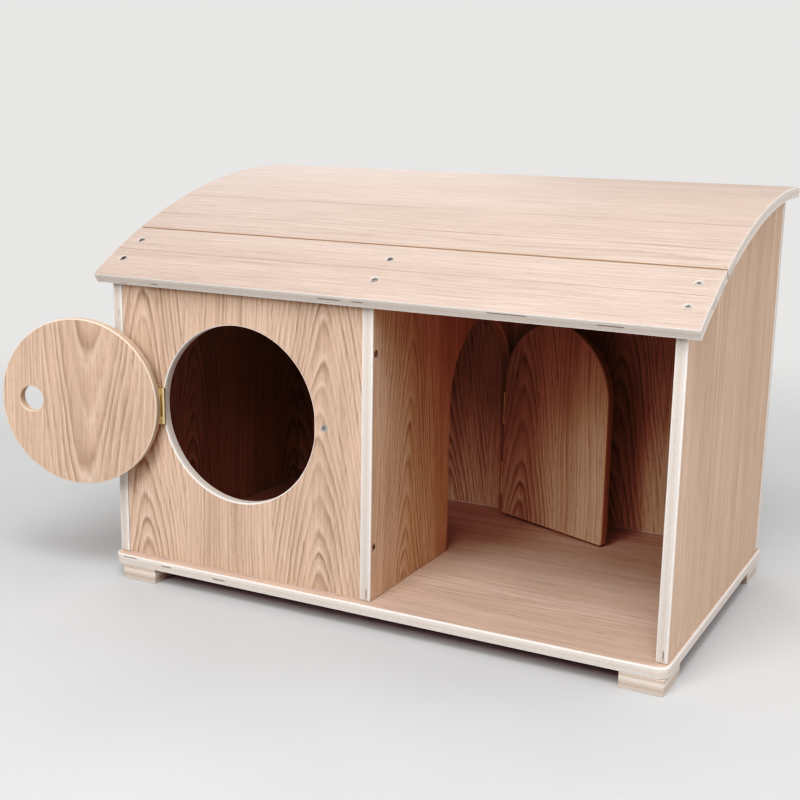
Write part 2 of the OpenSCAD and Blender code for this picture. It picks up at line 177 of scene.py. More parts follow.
def set_ramp(node, stops):
    """Gives a colour ramp its stops, each a place and a colour."""
    ramp = node.color_ramp
    ramp.elements.remove(ramp.elements[1])
    ramp.elements[0].position = stops[0][0]
    ramp.elements[0].color = stops[0][1]
    for place, colour in stops[1:]:
        ramp.elements.new(place).color = colour


def grey(value):
    """A grey for a ramp that carries a number."""
    return (value, value, value, 1.0)


def ash_veneer(name, light, pale, warm, line, strength, peak, cut_depth=12 * MM, bends=()):
    """Sliced ash veneer under clear matt lacquer, laid in leaves side by side.

    The eye sees leaves with a peaked figure in turn with straight ones, a soft darker line at the end of each
    year's growth with a paler one behind it, fine fibre, and short dark pores. A bowed board also gets a faint
    dark straight line painted at each of its bends, which are places across the fibres: painted shade for the
    change of light between the board's flat facets.
    light, pale, warm and line are its colours, strength that of the lines, peak how fast the trunk
    tapers, and cut_depth how far from the trunk's middle the knife passed at least."""
    year_width = 5.4 * MM
    material, tree, shader = new_material(name)
    place = add(tree, "ShaderNodeAttribute", attribute_name="board").outputs["Vector"]
    split = add(tree, "ShaderNodeSeparateXYZ", {"Vector": place})
    along = split.outputs["Y"]

    # Which leaf this is, and how it was cut
    leaves = add(tree, "ShaderNodeMath", {0: split.outputs["X"], 1: 1 / LEAF_WIDTH}, operation="MULTIPLY")
    leaf = add(tree, "ShaderNodeMath", {0: leaves}, operation="FLOOR")
    share = add(tree, "ShaderNodeMath", {0: leaves}, operation="FRACT")
    chance = add(tree, "ShaderNodeTexWhiteNoise", {"W": leaf}, noise_dimensions="1D").outputs["Color"]
    cut = add(tree, "ShaderNodeSeparateXYZ", {"Vector": chance})
    straight = add(tree, "ShaderNodeMath", {0: leaf, 1: 1.0}, operation="PINGPONG")
    crown = add(tree, "ShaderNodeMath", {0: 1.0, 1: straight}, operation="SUBTRACT")

    # The trunk's middle sways slowly, and its rings ripple
    slow_size = (1 / (200 * MM), 1 / (330 * MM), 1 / (25 * MM))
    slow = add(tree, "ShaderNodeVectorMath", {0: place, 1: slow_size}, operation="MULTIPLY")
    bend = add(tree, "ShaderNodeTexNoise", {"Vector": slow, "Scale": 1.0, "Detail": 1.0})
    ripple_size = (1 / (18 * MM), 1 / (90 * MM), 1 / (25 * MM))
    quick = add(tree, "ShaderNodeVectorMath", {0: place, 1: ripple_size}, operation="MULTIPLY")
    ripple = add(tree, "ShaderNodeTexNoise", {"Vector": quick, "Scale": 1.0, "Detail": 2.0})

    # Distance from the trunk's middle, which shrinks along the trunk
    sway = add(tree, "ShaderNodeMath", {0: bend, 1: 40 * MM, 2: -20 * MM}, operation="MULTIPLY_ADD")
    shifted = add(tree, "ShaderNodeMath", {0: straight, 1: 300 * MM, 2: sway}, operation="MULTIPLY_ADD")
    middle = add(tree, "ShaderNodeMath", {0: share, 1: 0.5}, operation="SUBTRACT")
    side = add(tree, "ShaderNodeMath", {0: middle, 1: LEAF_WIDTH, 2: shifted}, operation="MULTIPLY_ADD")
    side_square = add(tree, "ShaderNodeMath", {0: side, 1: side}, operation="MULTIPLY")
    depth = add(tree, "ShaderNodeMath", {0: cut.outputs["Y"], 1: 12 * MM, 2: cut_depth},
                operation="MULTIPLY_ADD")
    depth_square = add(tree, "ShaderNodeMath", {0: depth, 1: depth}, operation="MULTIPLY")
    squares = add(tree, "ShaderNodeMath", {0: side_square, 1: depth_square}, operation="ADD")
    reach = add(tree, "ShaderNodeMath", {0: squares}, operation="SQRT")
    taper = add(tree, "ShaderNodeMath", {0: cut.outputs["Z"], 1: 0.4 * peak, 2: 0.8 * peak},
                operation="MULTIPLY_ADD")
    crown_taper = add(tree, "ShaderNodeMath", {0: taper, 1: crown}, operation="MULTIPLY")
    tapered = add(tree, "ShaderNodeMath", {0: along, 1: crown_taper, 2: reach}, operation="MULTIPLY_ADD")

    # Years of growth, some wide and some narrow
    spell = add(tree, "ShaderNodeTexNoise", {"W": tapered, "Scale": 1 / (22 * MM), "Detail": 1.0},
                noise_dimensions="1D")
    even_years = add(tree, "ShaderNodeMath", {0: tapered, 1: 1 / year_width}, operation="MULTIPLY")
    uneven_years = add(tree, "ShaderNodeMath", {0: spell, 1: 2.2, 2: even_years}, operation="MULTIPLY_ADD")
    years = add(tree, "ShaderNodeMath", {0: ripple, 1: 0.8, 2: uneven_years}, operation="MULTIPLY_ADD")
    season = add(tree, "ShaderNodeMath", {0: years}, operation="FRACT")
    year = add(tree, "ShaderNodeMath", {0: years}, operation="FLOOR")

    # The line at the end of a year, stronger in some years and fading here and there
    line_ramp = add(tree, "ShaderNodeValToRGB", {"Fac": season})
    set_ramp(line_ramp, [(0.0, grey(0.3)), (0.15, grey(0.0)), (0.55, grey(0.1)), (0.88, grey(1.0)),
                         (1.0, grey(0.3))])
    weather = add(tree, "ShaderNodeTexWhiteNoise", {"W": year}, noise_dimensions="1D").outputs["Value"]
    force = add(tree, "ShaderNodeMath", {0: weather, 1: 0.75 * strength, 2: 0.25 * strength},
                operation="MULTIPLY_ADD")
    fade_size = (1 / (14 * MM), 1 / (110 * MM), 1 / (25 * MM))
    faded = add(tree, "ShaderNodeVectorMath", {0: place, 1: fade_size}, operation="MULTIPLY")
    fade_noise = add(tree, "ShaderNodeTexNoise", {"Vector": faded, "Scale": 1.0, "Detail": 1.0})
    fade = add(tree, "ShaderNodeMapRange", {0: fade_noise, 1: 0.35, 2: 0.6, 3: 0.35, 4: 1.0})
    calm = add(tree, "ShaderNodeMath", {0: straight, 1: -0.35, 2: 1.0}, operation="MULTIPLY_ADD")
    calm_force = add(tree, "ShaderNodeMath", {0: force, 1: calm}, operation="MULTIPLY")
    full_lines = add(tree, "ShaderNodeMath", {0: line_ramp, 1: calm_force}, operation="MULTIPLY")
    lines = add(tree, "ShaderNodeMath", {0: full_lines, 1: fade}, operation="MULTIPLY")

    # Fibre and pores, drawn coarser than life so that they show
    fibre_size = (1 / (2.2 * MM), 1 / (80 * MM), 1 / (25 * MM))
    fine = add(tree, "ShaderNodeVectorMath", {0: place, 1: fibre_size}, operation="MULTIPLY")
    fibre = add(tree, "ShaderNodeTexNoise", {"Vector": fine, "Scale": 1.0, "Detail": 3.0})
    pore_size = (1 / (1.2 * MM), 1 / (16 * MM), 1 / (25 * MM))
    short = add(tree, "ShaderNodeVectorMath", {0: place, 1: pore_size}, operation="MULTIPLY")
    specks = add(tree, "ShaderNodeTexNoise", {"Vector": short, "Scale": 1.0, "Detail": 1.0})
    pores = add(tree, "ShaderNodeMapRange", {0: specks, 1: 0.56, 2: 0.74, 3: 0.0, 4: 0.3})

    # Colour
    broad_size = (1 / (38 * MM), 1 / (550 * MM), 1 / (25 * MM))
    broad = add(tree, "ShaderNodeVectorMath", {0: place, 1: broad_size}, operation="MULTIPLY")
    tone = add(tree, "ShaderNodeTexNoise", {"Vector": broad, "Scale": 1.0, "Detail": 2.0})
    tone_ramp = add(tree, "ShaderNodeValToRGB", {"Fac": tone})
    set_ramp(tone_ramp, [(0.33, linear(pale)), (0.67, linear(warm))])
    gleam_ramp = add(tree, "ShaderNodeValToRGB", {"Fac": season})
    set_ramp(gleam_ramp, [(0.0, grey(0.2)), (0.12, grey(1.0)), (0.4, grey(0.0)), (0.9, grey(0.0)),
                          (1.0, grey(0.2))])
    gleam = add(tree, "ShaderNodeMath", {0: gleam_ramp, 1: fade}, operation="MULTIPLY")
    gleam_part = add(tree, "ShaderNodeMath", {0: gleam, 1: 0.5 * strength}, operation="MULTIPLY")
    spring = add(tree, "ShaderNodeMix", {"Factor": gleam_part, 6: tone_ramp, 7: linear(light)},
                 data_type="RGBA").outputs[2]
    marks = add(tree, "ShaderNodeMath", {0: lines, 1: pores}, operation="ADD")
    # At each bend a faint dark line is painted: painted shade for the change of light between flat facets
    for bend_place in bends:
        off = add(tree, "ShaderNodeMath", {0: split.outputs["X"], 1: bend_place}, operation="SUBTRACT")
        off_size = add(tree, "ShaderNodeMath", {0: off}, operation="ABSOLUTE")
        bend_shade_line = add(tree, "ShaderNodeMapRange", {0: off_size, 1: 0.3 * MM, 2: 1.4 * MM, 3: 0.7, 4: 0.0})
        marks = add(tree, "ShaderNodeMath", {0: bend_shade_line, 1: fade, 2: marks}, operation="MULTIPLY_ADD")
    drawn = add(tree, "ShaderNodeClamp", {0: marks})
    figured = add(tree, "ShaderNodeMix", {"Factor": drawn, 6: spring, 7: linear(line)},
                  data_type="RGBA").outputs[2]
    shade = add(tree, "ShaderNodeMapRange", {0: fibre, 1: 0.3, 2: 0.7, 3: 0.88, 4: 1.1})
    shaded = add(tree, "ShaderNodeVectorMath", {0: figured, "Scale": shade}, operation="SCALE")
    tree.links.new(shaded.outputs[0], shader.inputs["Base Color"])

    # Open grain under thin lacquer
    relief = add(tree, "ShaderNodeMath", {0: drawn, 1: -1.0, 2: fibre}, operation="MULTIPLY_ADD")
    bump = add(tree, "ShaderNodeBump", {"Height": relief, "Strength": 0.25, "Distance": 0.15 * MM})
    tree.links.new(bump.outputs[0], shader.inputs["Normal"])
    shader.inputs["Roughness"].default_value = 0.58
    return material


def plywood_edge(name, rim, pale, cross, glue):
    """Sawn plywood edge, rounded by the sanding and lacquered.

    The eye sees pale plies with every other one a little darker, thin glue lines between them, and now and then a
    short dark gap in an inner ply. The outer plies near both faces are painted palest of all in the rim colour, a
    painted highlight on the eased corners, which the sanding rounded."""
    ply_step = 2.4 * MM
    material, tree, shader = new_material(name)
    place = add(tree, "ShaderNodeAttribute", attribute_name="board").outputs["Vector"]
    depth = add(tree, "ShaderNodeSeparateXYZ", {"Vector": place}).outputs["Z"]
    uneven = add(tree, "ShaderNodeTexNoise", {"Vector": place, "Scale": 1 / (71.43 * MM), "Detail": 1.0})
    wavy = add(tree, "ShaderNodeMath", {0: uneven, 1: 0.8 * MM, 2: depth}, operation="MULTIPLY_ADD")
    plies = add(tree, "ShaderNodeMath", {0: wavy, 1: 1 / ply_step}, operation="MULTIPLY")
    ply = add(tree, "ShaderNodeMath", {0: plies}, operation="FLOOR")
    share = add(tree, "ShaderNodeMath", {0: plies}, operation="FRACT")
    turn = add(tree, "ShaderNodeMath", {0: ply, 1: 2.0}, operation="PINGPONG")
    half_turn = add(tree, "ShaderNodeMath", {0: turn, 1: 0.5}, operation="MULTIPLY")
    glue_ramp = add(tree, "ShaderNodeValToRGB", {"Fac": share})
    set_ramp(glue_ramp, [(0.0, grey(0.45)), (0.14, grey(0.0)), (0.9, grey(0.0)), (1.0, grey(0.35))])

    grain_size = (1 / (3.125 * MM), 1 / (3.125 * MM), 1 / (1.4286 * MM))
    fine = add(tree, "ShaderNodeVectorMath", {0: place, 1: grain_size}, operation="MULTIPLY")
    grain = add(tree, "ShaderNodeTexNoise", {"Vector": fine, "Scale": 1.0, "Detail": 3.0})
    crossed = add(tree, "ShaderNodeMix", {"Factor": half_turn, 6: linear(pale), 7: linear(cross)},
                  data_type="RGBA").outputs[2]
    glued = add(tree, "ShaderNodeMix", {"Factor": glue_ramp, 6: crossed, 7: linear(glue)},
                data_type="RGBA").outputs[2]

    # Short gaps where an inner ply stops before the next begins
    gap_size = (1 / (66.667 * MM), 1 / (66.667 * MM), 0)
    far_apart = (7.3, 7.3, 7.3)
    lane = add(tree, "ShaderNodeCombineXYZ", {"Z": ply})
    stretched = add(tree, "ShaderNodeVectorMath", {0: place, 1: gap_size}, operation="MULTIPLY")
    lanes = add(tree, "ShaderNodeVectorMath", {0: lane, 1: far_apart, 2: stretched}, operation="MULTIPLY_ADD")
    gaps = add(tree, "ShaderNodeTexNoise", {"Vector": lanes, "Scale": 1.0, "Detail": 1.0})
    gap_part = add(tree, "ShaderNodeMapRange", {0: gaps, 1: 0.71, 2: 0.73, 3: 0.0, 4: 0.75})
    gap_line = add(tree, "ShaderNodeMapRange", {0: share, 1: 0.5, 2: 0.6, 3: 1.0, 4: 0.0})
    gap = add(tree, "ShaderNodeMath", {0: gap_part, 1: gap_line}, operation="MULTIPLY")
    gapped = add(tree, "ShaderNodeMix", {"Factor": gap, 6: glued, 7: linear("#4A3223")},
                 data_type="RGBA").outputs[2]

    # The outer plies, rounded by the sanding: near both faces they are painted in the pale rim colour, a painted
    # highlight where the eased corners catch the light
    inside = add(tree, "ShaderNodeMath", {0: depth, 1: PLY / 2}, operation="PINGPONG")
    painted_highlight_band = add(tree, "ShaderNodeMapRange", {0: inside, 1: 1.1 * MM, 2: 1.9 * MM, 3: 1.0, 4: 0.0})
    highlighted = add(tree, "ShaderNodeMix", {"Factor": painted_highlight_band, 6: gapped, 7: linear(rim)},
                 data_type="RGBA").outputs[2]

    shade = add(tree, "ShaderNodeMapRange", {0: grain, 1: 0.3, 2: 0.7, 3: 0.94, 4: 1.04})
    shaded = add(tree, "ShaderNodeVectorMath", {0: highlighted, "Scale": shade}, operation="SCALE")
    tree.links.new(shaded.outputs[0], shader.inputs["Base Color"])
    bump = add(tree, "ShaderNodeBump", {"Height": grain, "Strength": 0.3, "Distance": 0.15 * MM})
    tree.links.new(bump.outputs[0], shader.inputs["Normal"])
    shader.inputs["Roughness"].default_value = 0.62
    return material


def plated_metal(name, colour, dull, roughness):
    """Plated sheet or wire: bright, with faint drawing lines and a few dull patches."""
    material, tree, shader = new_material(name)
    place = add(tree, "ShaderNodeTexCoord").outputs["Object"]
    patches = add(tree, "ShaderNodeTexNoise", {"Vector": place, "Scale": 1 / (7 * MM), "Detail": 1.0})
    tint_ramp = add(tree, "ShaderNodeValToRGB", {"Fac": patches})
    set_ramp(tint_ramp, [(0.35, linear(colour)), (0.7, linear(dull))])
    tree.links.new(tint_ramp.outputs[0], shader.inputs["Base Color"])
    line_size = (1 / (0.6 * MM), 1 / (0.6 * MM), 1 / (6 * MM))
    drawn = add(tree, "ShaderNodeVectorMath", {0: place, 1: line_size}, operation="MULTIPLY")
    lines = add(tree, "ShaderNodeTexNoise", {"Vector": drawn, "Scale": 1.0, "Detail": 2.0})
    spread = 0.05
    rough = add(tree, "ShaderNodeMapRange", {0: lines, 1: 0.3, 2: 0.7, 3: roughness - spread,
                                             4: roughness + spread})
    tree.links.new(rough.outputs[0], shader.inputs["Roughness"])
    shader.inputs["Metallic"].default_value = 1.0
    return material


wall_veneer = ash_veneer("ash_veneer_crown_cut", "#DFCAB9", "#CCAE99", "#BC9F8A", "#7E614E", 0.8, 0.16)
side_veneer = ash_veneer("ash_veneer_straight_cut", "#DAC3AF", "#CDAF99", "#BA9D87", "#8C705B", 0.6, 0.006)
door_veneer = ash_veneer("ash_veneer_door", "#DDC8B7", "#CAAC97", "#BA9D88", "#7E614E", 0.75, 0.16)
roof_veneer = ash_veneer("ash_veneer_pale", "#C6B6AA", "#BEABA0", "#B5A195", "#957E6D", 0.45, 0.01,
                         bends=ROOF_BENDS)
disc_veneer = ash_veneer("ash_veneer_flat_cut", "#DDC8B7", "#CAAC97", "#BA9D88", "#7E614E", 0.75, 0.08,
                         cut_depth=24 * MM)
# A paler, warmer copy of the veneer for the divider: painted light, standing in for the light that reaches its
# face inside the porch
divider_veneer_painted_light = ash_veneer("ash_veneer_painted_light", "#EAD2BF", "#DBB9A1", "#CBA88F", "#8A6852", 0.8, 0.16)
floor_veneer = ash_veneer("ash_veneer_floor", "#DBC6B9", "#D1B7A8", "#C4A998", "#977C6B", 0.5, 0.015)
bare_edge = plywood_edge("plywood_edge_lacquered", "#DBD5D0", "#D3CCC6", "#C9BEB5", "#A58C79")
block_edge = plywood_edge("plywood_edge_block", "#CFC3B9", "#CFC3B9", "#BAA899", "#846A57")
disc_edge = plywood_edge("plywood_edge_disc", "#D8C5B4", "#CBB5A2", "#BFA791", "#9A7F69")
# A darker copy of the plywood edge: painted shade for edges that lie in shade, in the doorway, in the roof's seam,
# on the arched door and on the door stop
painted_shade_edge = plywood_edge("plywood_edge_painted_shade", "#BFA18A", "#B89A83", "#AC8D75", "#7E604C")
hinge_brass = plated_metal("brass_plated_hinge", "#FFF1C9", "#F6E3B0", 0.32)
screw_brass = plated_metal("brass_plated_screw", "#D9C48C", "#BDA264", 0.36)
screw_zinc = plated_metal("zinc_plated_screw", "#D8D5D0", "#A9A6A1", 0.4)
pin_steel = plated_metal("drawn_steel_pin", "#B4B1AC", "#8F8C88", 0.32)


# Boards

def arc(centre, radius, start, stop, steps):
    """Points on a circle from one angle to another, in degrees."""
    turn = [math.radians(start + (stop - start) * i / steps) for i in range(steps + 1)]
    return [(centre[0] + radius * math.cos(a), centre[1] + radius * math.sin(a)) for a in turn]


def roof_height(radius, y):
    """Height of an arc of the roof over a place between front and back."""
    return ROOF_AXIS_Z + math.sqrt(radius * radius - (y - CREST_Y) ** 2)


def soften(points, ease):
    """Rounds the sharp corners of an outline, wide enough for its eased edge to follow them."""
    radius = CORNER_PER_EASE * ease
    out = []
    for i, here in enumerate(points):
        here = Vector(here)
        before = Vector(points[i - 1]) - here
        after = Vector(points[(i + 1) % len(points)]) - here
        bend = math.pi - before.angle(after)
        if bend < SHARP_CORNER:
            out.append(tuple(here))
            continue
        tangent = min(radius * math.tan(bend / 2), before.length / 3, after.length / 3)
        first = here + before.normalized() * tangent
        last = here + after.normalized() * tangent
        for k in range(EASE_STEPS + 1):
            t = k / EASE_STEPS
            out.append(tuple(first * (1 - t) ** 2 + here * 2 * t * (1 - t) + last * t ** 2))
    return out


def inset(points, distance):
    """Moves an outline towards its left-hand side, which is where the wood is."""
    out = []
    for i, here in enumerate(points):
        a = Vector(here) - Vector(points[i - 1])
        b = Vector(points[(i + 1) % len(points)]) - Vector(here)
        left_a = Vector((-a.y, a.x)).normalized()
        left_b = Vector((-b.y, b.x)).normalized()
        step = (left_a + left_b) * (distance / (1 + left_a.dot(left_b)))
        out.append((here[0] + step.x, here[1] + step.y))
    return out


def sawn(cuts, thickness):
    """A board sawn to its outlines, each with the size of its eased edge. The first outline runs
    anticlockwise and the holes clockwise. Gives the corners, the faces, and which are the flat sides."""
    quarter = [math.pi / 2 * k / EASE_STEPS for k in range(EASE_STEPS + 1)]
    corners = []
    faces = []
    flat = []
    loops = []
    lower_index = []
    upper_index = []
    for points, ease in cuts:
        rings = [(ease * (1 - math.sin(t)), ease * (1 - math.cos(t))) for t in quarter]
        rings += [(step, thickness - height) for step, height in reversed(rings)]
        count = len(points)
        first = len(corners)
        for step, height in rings:
            corners += [(p, q, height) for p, q in inset(points, step)]
        for ring in range(len(rings) - 1):
            a = first + ring * count
            b = a + count
            for i in range(count):
                j = (i + 1) % count
                faces.append((a + i, a + j, b + j, b + i))
                flat.append(False)
        loops.append([Vector(c) for c in corners[first:first + count]])
        lower_index += range(first, first + count)
        upper_index += range(len(corners) - count, len(corners))
    for triangle in tessellate_polygon(loops):
        lower = [lower_index[i] for i in triangle]
        a, b, c = (Vector(corners[i]) for i in lower)
        upper = [upper_index[i] for i in triangle]
        facing_up = (b - a).cross(c - a).z > 0
        faces.append(tuple(reversed(lower)) if facing_up else tuple(lower))
        faces.append(tuple(upper) if facing_up else tuple(reversed(upper)))
        flat += [True, True]
    return corners, faces, flat


def make_piece(name, mesh, body, slot, *nodes):
    """Puts a finished mesh in the scene in place of the solids that it stands for."""
    piece = bpy.data.objects.new(name, mesh)
    bpy.context.scene.collection.objects.link(piece)
    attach(piece, body)
    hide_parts(*nodes)


def board_mesh(name, built, place, grain, woods, which=None):
    """Turns a sawn board into a mesh. place puts a corner in the house, grain gives its place in the
    wood: across the fibres, along them, and through the plies. woods are the veneer of its flat
    sides and its edges, unless which tells the wood from a place."""
    corners, faces, flat = built
    mesh = bpy.data.meshes.new(name)
    mesh.from_pydata([place(*c) for c in corners], [], faces)
    for wood in woods:
        mesh.materials.append(wood)
    fibres = mesh.attributes.new("board", "FLOAT_VECTOR", "CORNER")
    for value, loop in zip(fibres.data, mesh.loops):
        value.vector = grain(*corners[loop.vertex_index])
    mesh.set_sharp_from_angle(angle=SHARP_EDGE)
    for polygon, side in zip(mesh.polygons, flat):
        polygon.material_index = int(not side) if which is None else which(polygon.center)
        polygon.use_smooth = not side
    mesh.update()
    return mesh


def upright_across(x):
    """Places a board that stands from front to back, with its left face at x."""
    return lambda p, q, w: (x + w, p, q)


def upright_along(y):
    """Places a board that stands along the front, with its rear face at y."""
    return lambda p, q, w: (p, y - w, q)


def lying(z):
    """Places a board that lies flat, with its lower face at z."""
    return lambda p, q, w: (p, q, z + w)


def turned(place, pin, degrees):
    """Swings what is placed about an upright pin."""
    swing = Matrix.Rotation(math.radians(degrees), 4, "Z")
    turn = Matrix.Translation(pin) @ swing @ Matrix.Translation(-pin)
    return lambda p, q, w: tuple(turn @ Vector(place(p, q, w)))


def fibres_up(leaf, middle):
    """Fibres along the outline's second axis, with the middle of one leaf at a place on the first."""
    return lambda p, q, w: (p - middle + (leaf + 0.5) * LEAF_WIDTH, q, w)


def fibres_down(leaf, middle):
    """The same with the tree's top downwards."""
    return lambda p, q, w: (p - middle + (leaf + 0.5) * LEAF_WIDTH, -q, w)


def fibres_level(leaf, middle):
    """Fibres along the outline's first axis, with the middle of one leaf at a place on the second."""
    return lambda p, q, w: (q - middle + (leaf + 0.5) * LEAF_WIDTH, p, w)


def box_outline(low_p, high_p, low_q, high_q):
    """A square-cornered outline, anticlockwise."""
    return [(low_p, low_q), (high_p, low_q), (high_p, high_q), (low_p, high_q)]


def roof_line(radius, start, stop):
    """Points along an arc of the roof from one place between front and back to another."""
    ys = [start + (stop - start) * i / ARC_STEPS for i in range(ARC_STEPS + 1)]
    return [(y, roof_height(radius, y)) for y in ys]


def under_the_roof(place, top):
    """Raises or lowers a board's top edge to the roof above it."""
    def placed(p, q, w):
        x, y, z = place(p, q, w)
        if q > top - 3 * BOARD_EASE:
            z += roof_height(SEAT_R, y) - top
        return x, y, z
    return placed


def farthest(corners, place):
    """The corner that is farthest from a place."""
    return max(corners, key=lambda corner: (corner - place).length)


def level_with(corners, end):
    """The corners as far from one end of a screw as any: a whole rim from the point, one from the rim."""
    reach = (farthest(corners, end) - end).length
    return [corner for corner in corners if (corner - end).length > reach - 0.05 * MM]


def screw_seats(*nodes):
    """Where the screws of some solids sit: the middle of each head, the way it faces, its length."""
    seats = []
    for node in nodes:
        shape = bmesh.new()
        shape.from_mesh(frame["nodes"][node].data)
        bmesh.ops.remove_doubles(shape, verts=shape.verts, dist=0.001 * MM)
        # Corners of no screw yet, in order, so that every run finds the screws alike
        waiting = dict.fromkeys(shape.verts)
        while waiting:
            screw = [waiting.popitem()[0]]
            for vert in screw:
                near = [edge.other_vert(vert) for edge in vert.link_edges]
                fresh = [other for other in near if other in waiting]
                for other in fresh:
                    del waiting[other]
                screw += fresh
            corners = [vert.co.copy() for vert in screw]
            ends = [farthest(corners, corners[0])]
            ends.append(farthest(corners, ends[0]))
            rims = [level_with(corners, end) for end in ends]
            rim, point = max(zip(rims, ends), key=lambda pair: len(pair[0]))
            head = sum(rim, Vector()) / len(rim)
            seats.append((head, (head - point).normalized(), (head - point).length))
        shape.free()
    return seats


def countersunk(mesh, nodes):
    """Cuts the countersinks for the screws of some solids into a board."""
    cutter_mesh = bpy.data.meshes.new("countersinks")
    cutter_shape = bmesh.new()
    slack = 0.25 * MM
    above = 1.0 * MM
    deep = HEAD_R * 0.75
    for head, facing, length in screw_seats(*nodes):
        turn = facing.to_track_quat("Z", "Y").to_matrix().to_4x4()
        middle = head + facing * (above - deep) / 2
        bmesh.ops.create_cone(cutter_shape, cap_ends=True, segments=28, radius1=HEAD_R + slack - deep,
                              radius2=HEAD_R + slack + above, depth=above + deep,
                              matrix=Matrix.Translation(middle) @ turn)
    for face in cutter_shape.faces:
        face.material_index = 1
    cutter_shape.to_mesh(cutter_mesh)
    cutter_shape.free()
    cutter = bpy.data.objects.new("countersinks", cutter_mesh)
    board = bpy.data.objects.new("board_to_cut", mesh)
    for item in (cutter, board):
        bpy.context.scene.collection.objects.link(item)
    cut = board.modifiers.new("countersinks", "BOOLEAN")
    cut.operation = "DIFFERENCE"
    cut.solver = "EXACT"
    cut.object = cutter
    graph = bpy.context.evaluated_depsgraph_get()
    result = bpy.data.meshes.new_from_object(board.evaluated_get(graph))
    bpy.data.objects.remove(board)
    bpy.data.objects.remove(cutter)
    return result


# Base board and feet
corner_left = (base_low.x + BASE_CORNER, base_low.y + BASE_CORNER)
corner_right = (base_high.x - BASE_CORNER, base_low.y + BASE_CORNER)
base_outline = arc(corner_left, BASE_CORNER, 180, 270, CORNER_STEPS)
base_outline += arc(corner_right, BASE_CORNER, 270, 360, CORNER_STEPS)
base_outline += [(base_high.x, base_high.y), (base_low.x, base_high.y)]
base_built = sawn([(soften(base_outline, BOARD_EASE), BOARD_EASE)], PLY)
base_mesh = board_mesh("base", base_built, lying(base_low.z), fibres_level(*LEAVES["base"]),
                       (floor_veneer, bare_edge))
make_piece("board_base", countersunk(base_mesh, ["base_screws"]), "house", "floor_plywood", "base_board")

for foot in ("foot_front_left", "foot_front_right", "foot_rear_left", "foot_rear_right"):
    low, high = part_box(foot)
    outline = soften(box_outline(low.x, high.x, low.y, high.y), BLOCK_EASE)
    built = sawn([(outline, BLOCK_EASE)], high.z - low.z)
    mesh = board_mesh(foot, built, lying(low.z), fibres_level(*LEAVES["foot"]), (floor_veneer, block_edge))
    make_piece("block_" + foot, mesh, "house", "floor_plywood", foot)

# Side panels, with their tops on the roof's arc
side_outline = [(side_low.y, side_low.z), (side_high.y, side_low.z)]
side_outline += roof_line(SEAT_R, side_high.y, side_low.y)
side_built = sawn([(soften(side_outline, BOARD_EASE), BOARD_EASE)], PLY)
left_mesh = board_mesh("left", side_built, upright_across(side_low.x), fibres_up(*LEAVES["left"]),
                       (wall_veneer, bare_edge))
make_piece("board_left", countersunk(left_mesh, ["front_panel_screws"]), "house", "wall_plywood",
           "left_side_panel")
right_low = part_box("right_side_panel")[0]
right_mesh = board_mesh("right", side_built, upright_across(right_low.x), fibres_up(*LEAVES["right"]),
                        (side_veneer, bare_edge))
make_piece("board_right", right_mesh, "house", "wall_plywood", "right_side_panel")

# Divider, with the arched doorway
divider_outline = [(divider_low.y, divider_low.z), (ARCH_Y - ARCH_R, divider_low.z)]
divider_outline += arc((ARCH_Y, ARCH_Z), ARCH_R, 180, 0, ARC_STEPS)
divider_outline += [(JAMB_Y, divider_low.z), (divider_high.y, divider_low.z)]
divider_outline += roof_line(SEAT_R, divider_high.y, divider_low.y)
divider_built = sawn([(soften(divider_outline, BOARD_EASE), BOARD_EASE)], PLY)
divider_woods = (divider_veneer_painted_light, bare_edge, painted_shade_edge)


def divider_wood_at(centre):
    """Which wood shows on the divider: veneer on its sides, the darker edge with painted shade in the doorway,
    else bare edges.
    """
    if min(centre.x - divider_low.x, divider_high.x - centre.x) < 0.01 * MM:
        return 0
    in_doorway = ARCH_Y - ARCH_R - BOARD_EASE < centre.y < JAMB_Y + BOARD_EASE
    return 2 if in_doorway and centre.z < ARCH_Z + ARCH_R + BOARD_EASE else 1


divider_mesh = board_mesh("divider", divider_built, upright_across(divider_low.x),
                          fibres_up(*LEAVES["divider"]), divider_woods, divider_wood_at)
make_piece("board_divider", countersunk(divider_mesh, ["front_panel_screws"]), "house", "wall_plywood",
           "divider_panel")

# Front panel, with the round opening
front_top = roof_height(SEAT_R, front_low.y)
opening = arc((OPENING_X, OPENING_Z), OPENING_R, 360, 0, RIM_STEPS)[:-1]
front_outline = soften(box_outline(front_low.x, front_high.x, front_low.z, front_top), BOARD_EASE)
front_built = sawn([(front_outline, BOARD_EASE), (opening, BOARD_EASE)], PLY)
front_place = under_the_roof(upright_along(front_high.y), front_top)
front_mesh = board_mesh("front", front_built, front_place, fibres_up(*LEAVES["front"]),
                        (wall_veneer, bare_edge))
make_piece("board_front", countersunk(front_mesh, ["door_stop_screw"]), "house", "wall_plywood",
           "front_panel")

# Back panel
back_top = roof_height(SEAT_R, back_low.y)
back_outline = soften(box_outline(back_low.x, back_high.x, back_low.z, back_top), BOARD_EASE)
back_built = sawn([(back_outline, BOARD_EASE)], PLY)
back_place = under_the_roof(upright_along(back_high.y), back_top)
back_mesh = board_mesh("back", back_built, back_place, fibres_up(*LEAVES["back"]), (wall_veneer, bare_edge))
make_piece("board_back", countersunk(back_mesh, ["back_panel_screws"]), "house", "wall_plywood",
           "back_panel")


# Roof: bowed boards, each an end outline drawn out along the house

def roof_angle(y):
    """Angle in front of the roof's crest, in degrees."""
    return math.degrees(math.asin((CREST_Y - y) / ROOF_R))


